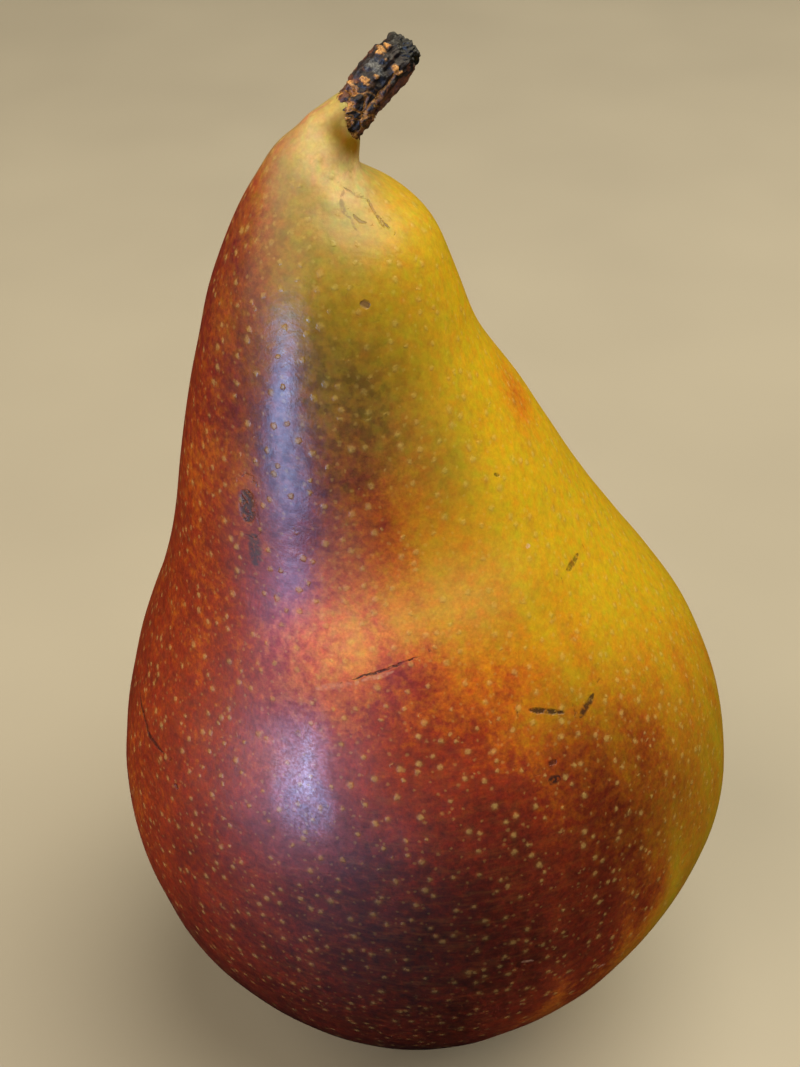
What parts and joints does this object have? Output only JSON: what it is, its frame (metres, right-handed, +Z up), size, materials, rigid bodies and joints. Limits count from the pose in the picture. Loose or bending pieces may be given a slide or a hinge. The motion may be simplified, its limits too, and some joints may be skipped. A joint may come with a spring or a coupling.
{
  "type": "pear",
  "caption": "Ripe blush pear with a leaning neck, a fleshy lip round a short broken woody stem, and a dried calyx in the hollow of its base.",
  "frame": {"origin": "under the middle of the bulb, on the surface that the pear stands on", "axes": "+Z up from the base to the stem; the neck leans towards -X and the stem leans towards +X; -Y is the front"},
  "size_m": [0.0665, 0.0665, 0.1166],
  "materials": {
    "skin": "satin",
    "stem_wood": "matte",
    "dried_calyx": "matte"
  },
  "bodies": {
    "root": {"fruit": "skin", "stem": "stem_wood", "calyx": "dried_calyx"}
  },
  "joints": []
}
